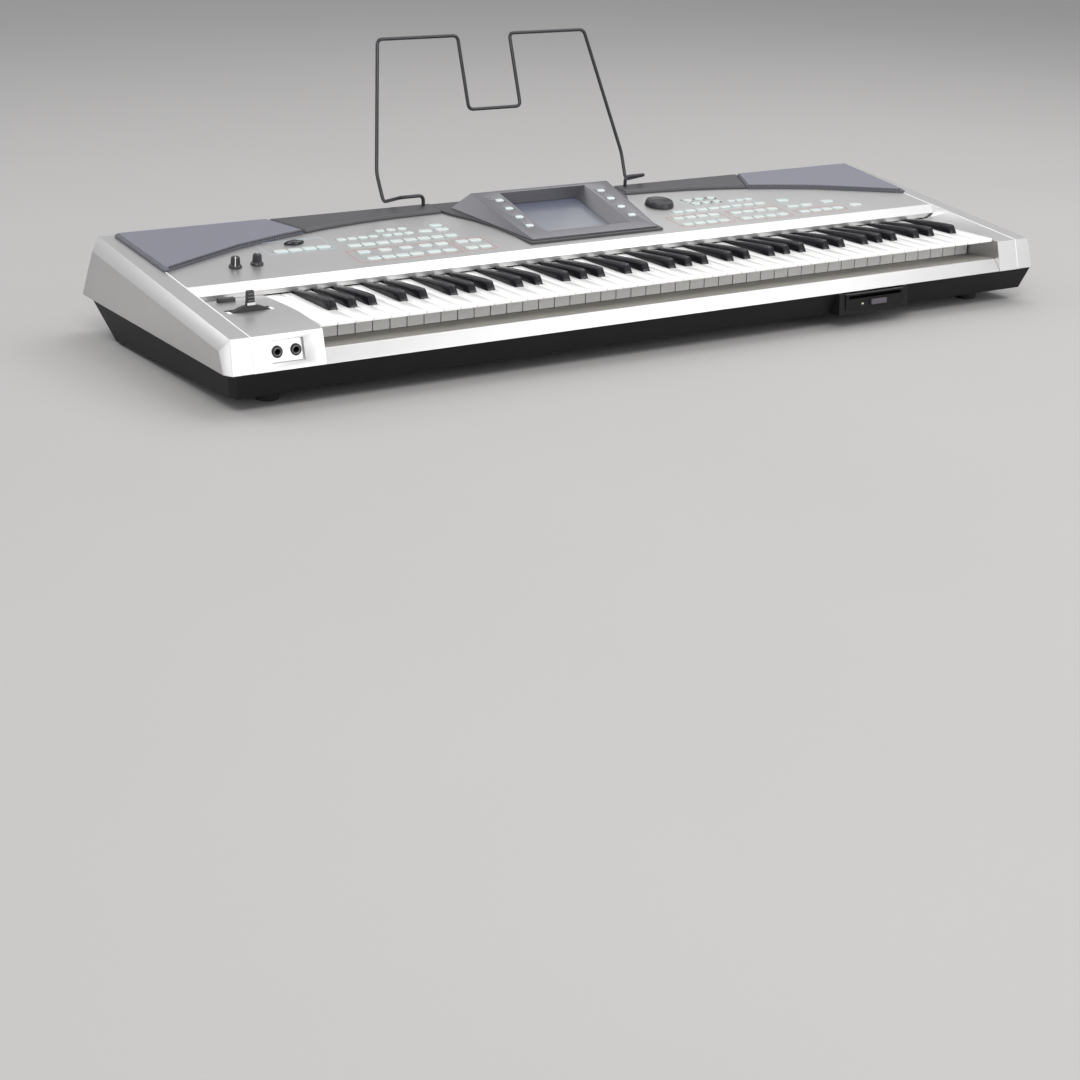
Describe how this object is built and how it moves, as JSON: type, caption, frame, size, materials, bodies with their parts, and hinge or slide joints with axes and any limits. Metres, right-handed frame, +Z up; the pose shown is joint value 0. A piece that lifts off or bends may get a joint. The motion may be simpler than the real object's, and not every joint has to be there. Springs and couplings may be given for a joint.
{
  "type": "arranger keyboard",
  "caption": "Silver and black arranger keyboard with hinged keys, sprung buttons, knobs, bender lever, tilted display, twin speaker grilles, disk drive and a lift-off wire music rest.",
  "frame": {"origin": "on the floor under the middle of the whole object's bounding box", "axes": "+X to the player's right along the keys, +Y away from the player, +Z up"},
  "size_m": [1.256, 0.5229, 0.3449],
  "materials": {
    "silver": "satin silver-grey paint on moulded covers",
    "black_case": "fine grained black moulding",
    "dark_trim": "dark grey satin moulding",
    "grille": "finely perforated sheet, purple-grey paint",
    "white_key": "glossy white",
    "black_key": "glossy black",
    "tray": "beige-grey",
    "button": "pale translucent mint",
    "black_plastic": "satin black",
    "screen": "grey-blue display window",
    "wire": "black chromed wire",
    "rubber": "matt black",
    "circuit": "green circuit board"
  },
  "bodies": {
    "case": {"bottom_case": "black_case", "end_cap_left": "silver", "end_cap_right": "silver", "control_block": "silver", "right_cheek": "silver", "top_panel": "silver", "key_slip": "silver", "headphone_jacks": "black_plastic", "key_frame": "tray", "beam_lens": "black_plastic", "rear_trim_left": "dark_trim", "rear_trim_right": "dark_trim", "speaker_grille_left": "grille", "speaker_grille_right": "grille", "speaker_driver_left": "black_plastic", "speaker_driver_right": "black_plastic", "display_base": "dark_trim", "display_hood": "dark_trim", "display_glass": "screen", "floppy_drive": "black_plastic", "rear_jack_plate": "black_plastic", "power_inlet": "black_plastic", "main_board": "circuit", "rear_wall": "silver", "foot_front_left": "rubber", "foot_front_right": "rubber", "foot_rear_left": "rubber", "foot_rear_right": "rubber"},
    "key_c": {"key_c": "white_key"},
    "key_c_sharp": {"key_c_sharp": "black_key"},
    "key_d": {"key_d": "white_key"},
    "key_d_sharp": {"key_d_sharp": "black_key"},
    "key_e": {"key_e": "white_key"},
    "key_f": {"key_f": "white_key"},
    "key_f_sharp": {"key_f_sharp": "black_key"},
    "key_g": {"key_g": "white_key"},
    "key_g_sharp": {"key_g_sharp": "black_key"},
    "key_a": {"key_a": "white_key"},
    "key_a_sharp": {"key_a_sharp": "black_key"},
    "key_b": {"key_b": "white_key"},
    "low_white_keys": {"low_white_keys": "white_key"},
    "high_white_keys": {"high_white_keys": "white_key"},
    "low_black_keys": {"low_black_keys": "black_key"},
    "high_black_keys": {"high_black_keys": "black_key"},
    "assign_button": {"assign_button": "black_plastic"},
    "bender_lever": {"bender_lever": "black_plastic"},
    "bender_carriage": {"bender_carriage": "black_plastic"},
    "beam_buttons": {"beam_buttons": "button"},
    "style_buttons": {"style_buttons": "button"},
    "rhythm_buttons": {"rhythm_buttons": "button"},
    "mode_buttons": {"mode_buttons": "button"},
    "tone_buttons": {"tone_buttons": "button"},
    "volume_knob": {"volume_knob": "black_plastic"},
    "balance_knob": {"balance_knob": "black_plastic"},
    "data_dial": {"data_dial": "black_plastic"},
    "display_buttons_left": {"display_buttons_left": "button"},
    "display_buttons_right": {"display_buttons_right": "button"},
    "eject_button": {"eject_button": "button"},
    "power_switch": {"power_switch": "black_plastic"},
    "music_rest": {"music_rest": "wire"}
  },
  "joints": [
    {"name": "key_c_swing", "type": "hinge", "parent": "case", "child": "key_c", "pos_m": [0, -0.013, 0.08025], "axis": [1, 0, 0], "range_deg": [0, 2.6], "stiffness_Nm_per_rad": 1.2, "springref_deg": -6.88},
    {"name": "key_c_sharp_swing", "type": "hinge", "parent": "case", "child": "key_c_sharp", "pos_m": [0, -0.001, 0.08725], "axis": [1, 0, 0], "range_deg": [0, 2.8], "stiffness_Nm_per_rad": 1.2, "springref_deg": -6.88},
    {"name": "key_d_swing", "type": "hinge", "parent": "case", "child": "key_d", "pos_m": [0, -0.013, 0.08025], "axis": [1, 0, 0], "range_deg": [0, 2.6], "stiffness_Nm_per_rad": 1.2, "springref_deg": -6.88},
    {"name": "key_d_sharp_swing", "type": "hinge", "parent": "case", "child": "key_d_sharp", "pos_m": [0, -0.001, 0.08725], "axis": [1, 0, 0], "range_deg": [0, 2.8], "stiffness_Nm_per_rad": 1.2, "springref_deg": -6.88},
    {"name": "key_e_swing", "type": "hinge", "parent": "case", "child": "key_e", "pos_m": [0, -0.013, 0.08025], "axis": [1, 0, 0], "range_deg": [0, 2.6], "stiffness_Nm_per_rad": 1.2, "springref_deg": -6.88},
    {"name": "key_f_swing", "type": "hinge", "parent": "case", "child": "key_f", "pos_m": [0, -0.013, 0.08025], "axis": [1, 0, 0], "range_deg": [0, 2.6], "stiffness_Nm_per_rad": 1.2, "springref_deg": -6.88},
    {"name": "key_f_sharp_swing", "type": "hinge", "parent": "case", "child": "key_f_sharp", "pos_m": [0, -0.001, 0.08725], "axis": [1, 0, 0], "range_deg": [0, 2.8], "stiffness_Nm_per_rad": 1.2, "springref_deg": -6.88},
    {"name": "key_g_swing", "type": "hinge", "parent": "case", "child": "key_g", "pos_m": [0, -0.013, 0.08025], "axis": [1, 0, 0], "range_deg": [0, 2.6], "stiffness_Nm_per_rad": 1.2, "springref_deg": -6.88},
    {"name": "key_g_sharp_swing", "type": "hinge", "parent": "case", "child": "key_g_sharp", "pos_m": [0, -0.001, 0.08725], "axis": [1, 0, 0], "range_deg": [0, 2.8], "stiffness_Nm_per_rad": 1.2, "springref_deg": -6.88},
    {"name": "key_a_swing", "type": "hinge", "parent": "case", "child": "key_a", "pos_m": [0, -0.013, 0.08025], "axis": [1, 0, 0], "range_deg": [0, 2.6], "stiffness_Nm_per_rad": 1.2, "springref_deg": -6.88},
    {"name": "key_a_sharp_swing", "type": "hinge", "parent": "case", "child": "key_a_sharp", "pos_m": [0, -0.001, 0.08725], "axis": [1, 0, 0], "range_deg": [0, 2.8], "stiffness_Nm_per_rad": 1.2, "springref_deg": -6.88},
    {"name": "key_b_swing", "type": "hinge", "parent": "case", "child": "key_b", "pos_m": [0, -0.013, 0.08025], "axis": [1, 0, 0], "range_deg": [0, 2.6], "stiffness_Nm_per_rad": 1.2, "springref_deg": -6.88},
    {"name": "low_white_keys_swing", "type": "hinge", "parent": "case", "child": "low_white_keys", "pos_m": [0, -0.013, 0.08025], "axis": [1, 0, 0], "range_deg": [0, 2.6], "stiffness_Nm_per_rad": 22.8, "springref_deg": -6.88},
    {"name": "high_white_keys_swing", "type": "hinge", "parent": "case", "child": "high_white_keys", "pos_m": [0, -0.013, 0.08025], "axis": [1, 0, 0], "range_deg": [0, 2.6], "stiffness_Nm_per_rad": 22.8, "springref_deg": -6.88},
    {"name": "low_black_keys_swing", "type": "hinge", "parent": "case", "child": "low_black_keys", "pos_m": [0, -0.001, 0.08725], "axis": [1, 0, 0], "range_deg": [0, 2.8], "stiffness_Nm_per_rad": 16.8, "springref_deg": -6.88},
    {"name": "high_black_keys_swing", "type": "hinge", "parent": "case", "child": "high_black_keys", "pos_m": [0, -0.001, 0.08725], "axis": [1, 0, 0], "range_deg": [0, 2.8], "stiffness_Nm_per_rad": 16.8, "springref_deg": -6.88},
    {"name": "beam_buttons_press", "type": "slide", "parent": "case", "child": "beam_buttons", "axis": [0, 0.1068, -0.9943], "range_m": [0, 0.001], "stiffness_N_per_m": 400, "springref_m": -0.0015},
    {"name": "style_buttons_press", "type": "slide", "parent": "case", "child": "style_buttons", "axis": [0, 0.1068, -0.9943], "range_m": [0, 0.001], "stiffness_N_per_m": 400, "springref_m": -0.0015},
    {"name": "rhythm_buttons_press", "type": "slide", "parent": "case", "child": "rhythm_buttons", "axis": [0, 0.1068, -0.9943], "range_m": [0, 0.001], "stiffness_N_per_m": 400, "springref_m": -0.0015},
    {"name": "mode_buttons_press", "type": "slide", "parent": "case", "child": "mode_buttons", "axis": [0, 0.1068, -0.9943], "range_m": [0, 0.001], "stiffness_N_per_m": 400, "springref_m": -0.0015},
    {"name": "tone_buttons_press", "type": "slide", "parent": "case", "child": "tone_buttons", "axis": [0, 0.1068, -0.9943], "range_m": [0, 0.001], "stiffness_N_per_m": 400, "springref_m": -0.0015},
    {"name": "display_buttons_left_press", "type": "slide", "parent": "case", "child": "display_buttons_left", "axis": [0, 0.2509, -0.968], "range_m": [0, 0.001], "stiffness_N_per_m": 400, "springref_m": -0.0015},
    {"name": "display_buttons_right_press", "type": "slide", "parent": "case", "child": "display_buttons_right", "axis": [0, 0.2509, -0.968], "range_m": [0, 0.001], "stiffness_N_per_m": 400, "springref_m": -0.0015},
    {"name": "volume_knob_turn", "type": "hinge", "parent": "case", "child": "volume_knob", "pos_m": [-0.506, -0.011, 0.11333], "axis": [0, -0.1068, 0.9943], "range_deg": [-150, 150]},
    {"name": "balance_knob_turn", "type": "hinge", "parent": "case", "child": "balance_knob", "pos_m": [-0.476, -0.0095, 0.11349], "axis": [0, -0.1068, 0.9943], "range_deg": [-150, 150]},
    {"name": "data_dial_turn", "type": "hinge", "parent": "case", "child": "data_dial", "pos_m": [0.181, 0.053, 0.1202], "axis": [0, -0.1068, 0.9943], "continuous": true},
    {"name": "bender_carriage_push", "type": "hinge", "parent": "case", "child": "bender_carriage", "pos_m": [-0.552, -0.151, 0.047], "axis": [-1, 0, 0], "range_deg": [0, 9], "stiffness_Nm_per_rad": 0.5, "springref_deg": -5.73},
    {"name": "bender_lever_swing", "type": "hinge", "parent": "bender_carriage", "child": "bender_lever", "pos_m": [-0.552, -0.151, 0.0585], "axis": [0, 1, 0], "range_deg": [-22, 22], "stiffness_Nm_per_rad": 0.5},
    {"name": "assign_button_press", "type": "slide", "parent": "case", "child": "assign_button", "axis": [0, 0, -1], "range_m": [0, 0.0018], "stiffness_N_per_m": 400, "springref_m": -0.0015},
    {"name": "eject_button_press", "type": "slide", "parent": "case", "child": "eject_button", "axis": [0, 1, 0], "range_m": [0, 0.0025], "stiffness_N_per_m": 400, "springref_m": -0.0015},
    {"name": "power_switch_rock", "type": "hinge", "parent": "case", "child": "power_switch", "pos_m": [-0.411, 0.16358, 0.08913], "axis": [1, 0, 0], "range_deg": [-5, 5]},
    {"name": "music_rest_lift", "type": "slide", "parent": "case", "child": "music_rest", "axis": [0, 0, 1], "range_m": [0, 0.03]}
  ]
}
